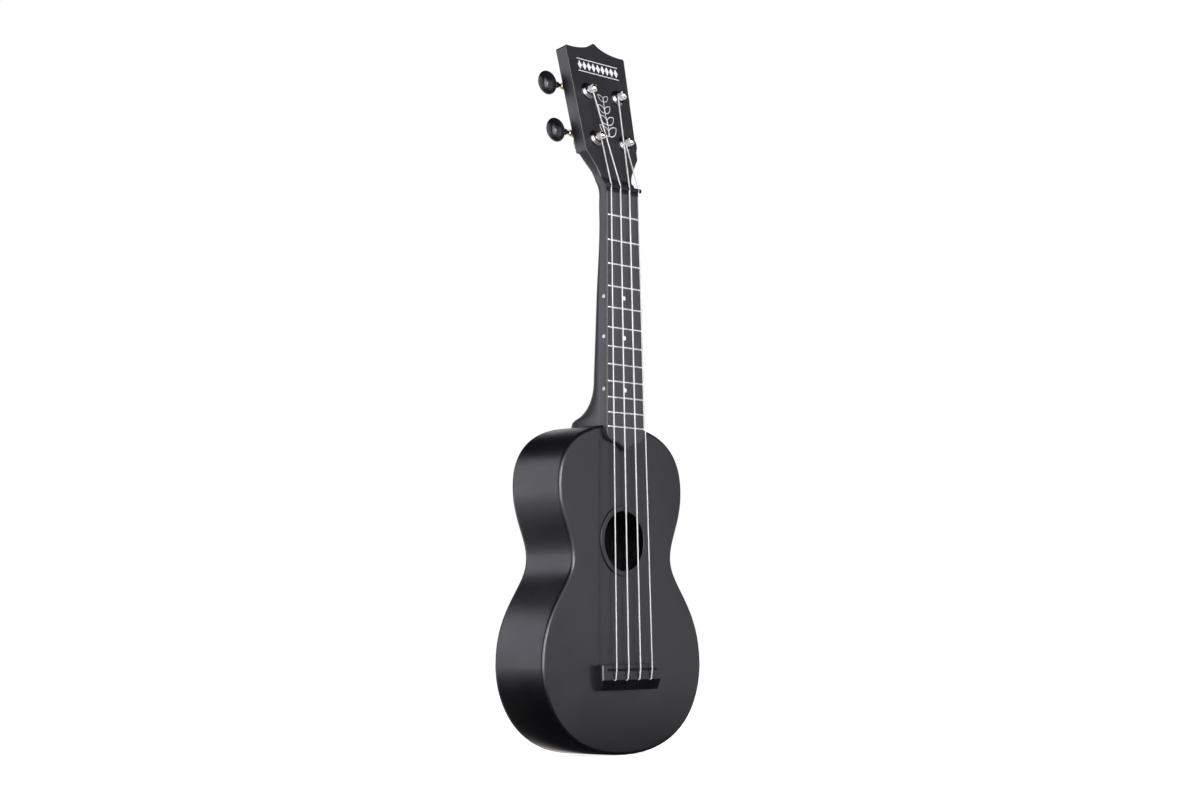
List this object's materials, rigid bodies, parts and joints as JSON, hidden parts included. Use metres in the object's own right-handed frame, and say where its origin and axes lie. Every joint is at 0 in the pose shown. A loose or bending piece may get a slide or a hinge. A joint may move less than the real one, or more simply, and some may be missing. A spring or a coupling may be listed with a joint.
{
  "type": "soprano ukulele",
  "caption": "Soprano ukulele in moulded black plastic with an hourglass body, a bracket-ended fretboard, metal frets and open-gear tuners with black buttons.",
  "frame": {"origin": "the spot on the centre line under the flare of the headstock where a wall hanger carries the instrument, half way through the thickness of the headstock", "axes": "+Z from the tail to the headstock, parallel to the neck; -Y is the side with the strings; +X is to the right seen from that side"},
  "size_m": [0.1726, 0.0657, 0.52],
  "materials": {
    "moulded_black": "satin moulded",
    "gloss_black": "gloss",
    "string_nylon": "clear nylon",
    "fret_metal": "polished crown",
    "screw_steel": "zinc",
    "shaft_brass": "nickel plated",
    "bushing_chrome": "mirror",
    "tuner_nickel": "nickel plated"
  },
  "bodies": {
    "body": {"soundboard": "moulded_black", "back_shell": "moulded_black", "neck": "moulded_black", "neck_bolt": "screw_steel", "fretboard": "moulded_black", "fret_01": "fret_metal", "fret_02": "fret_metal", "fret_03": "fret_metal", "fret_04": "fret_metal", "fret_05": "fret_metal", "fret_06": "fret_metal", "fret_07": "fret_metal", "fret_08": "fret_metal", "fret_09": "fret_metal", "fret_10": "fret_metal", "fret_11": "fret_metal", "fret_12": "fret_metal", "nut": "gloss_black", "bridge": "moulded_black", "saddle": "gloss_black", "string_1": "string_nylon", "string_2": "string_nylon", "string_3": "string_nylon", "string_4": "string_nylon", "plate_1": "tuner_nickel", "plate_2": "tuner_nickel", "plate_3": "tuner_nickel", "plate_4": "tuner_nickel", "plate_screw_1_lower": "screw_steel", "plate_screw_1_upper": "screw_steel", "plate_screw_2_lower": "screw_steel", "plate_screw_2_upper": "screw_steel", "plate_screw_3_lower": "screw_steel", "plate_screw_3_upper": "screw_steel", "plate_screw_4_lower": "screw_steel", "plate_screw_4_upper": "screw_steel", "bushing_1": "bushing_chrome", "bushing_2": "bushing_chrome", "bushing_3": "bushing_chrome", "bushing_4": "bushing_chrome"},
    "button_shaft_1": {"worm_shaft_1": "shaft_brass", "button_1": "gloss_black"},
    "peg_1": {"post_1": "tuner_nickel", "gear_1": "tuner_nickel", "gear_screw_1": "screw_steel"},
    "button_shaft_2": {"worm_shaft_2": "shaft_brass", "button_2": "gloss_black"},
    "peg_2": {"post_2": "tuner_nickel", "gear_2": "tuner_nickel", "gear_screw_2": "screw_steel"},
    "button_shaft_3": {"worm_shaft_3": "shaft_brass", "button_3": "gloss_black"},
    "peg_3": {"post_3": "tuner_nickel", "gear_3": "tuner_nickel", "gear_screw_3": "screw_steel"},
    "button_shaft_4": {"worm_shaft_4": "shaft_brass", "button_4": "gloss_black"},
    "peg_4": {"post_4": "tuner_nickel", "gear_4": "tuner_nickel", "gear_screw_4": "screw_steel"}
  },
  "joints": [
    {"name": "button_turn_1", "type": "hinge", "parent": "body", "child": "button_shaft_1", "pos_m": [-0.016, 0.01644, 0.02796], "axis": [1, 0, 0], "continuous": true},
    {"name": "peg_turn_1", "type": "hinge", "parent": "body", "child": "peg_1", "pos_m": [-0.016, -0.00064, 0.02295], "axis": [0, -0.9813, 0.1925], "continuous": true},
    {"name": "button_turn_2", "type": "hinge", "parent": "body", "child": "button_shaft_2", "pos_m": [-0.0166, 0.02349, 0.06387], "axis": [1, 0, 0], "continuous": true},
    {"name": "peg_turn_2", "type": "hinge", "parent": "body", "child": "peg_2", "pos_m": [-0.0166, 0.0064, 0.05887], "axis": [0, -0.9813, 0.1925], "continuous": true},
    {"name": "button_turn_3", "type": "hinge", "parent": "body", "child": "button_shaft_3", "pos_m": [0.0166, 0.02349, 0.06387], "axis": [1, 0, 0], "continuous": true},
    {"name": "peg_turn_3", "type": "hinge", "parent": "body", "child": "peg_3", "pos_m": [0.0166, 0.0064, 0.05887], "axis": [0, -0.9813, 0.1925], "continuous": true},
    {"name": "button_turn_4", "type": "hinge", "parent": "body", "child": "button_shaft_4", "pos_m": [0.016, 0.01644, 0.02796], "axis": [1, 0, 0], "continuous": true},
    {"name": "peg_turn_4", "type": "hinge", "parent": "body", "child": "peg_4", "pos_m": [0.016, -0.00064, 0.02295], "axis": [0, -0.9813, 0.1925], "continuous": true}
  ],
  "couplings": [
    {"joint": "peg_turn_1", "follows": "button_turn_1", "ratio": 0.055556},
    {"joint": "peg_turn_2", "follows": "button_turn_2", "ratio": 0.055556},
    {"joint": "peg_turn_3", "follows": "button_turn_3", "ratio": 0.055556},
    {"joint": "peg_turn_4", "follows": "button_turn_4", "ratio": 0.055556}
  ]
}
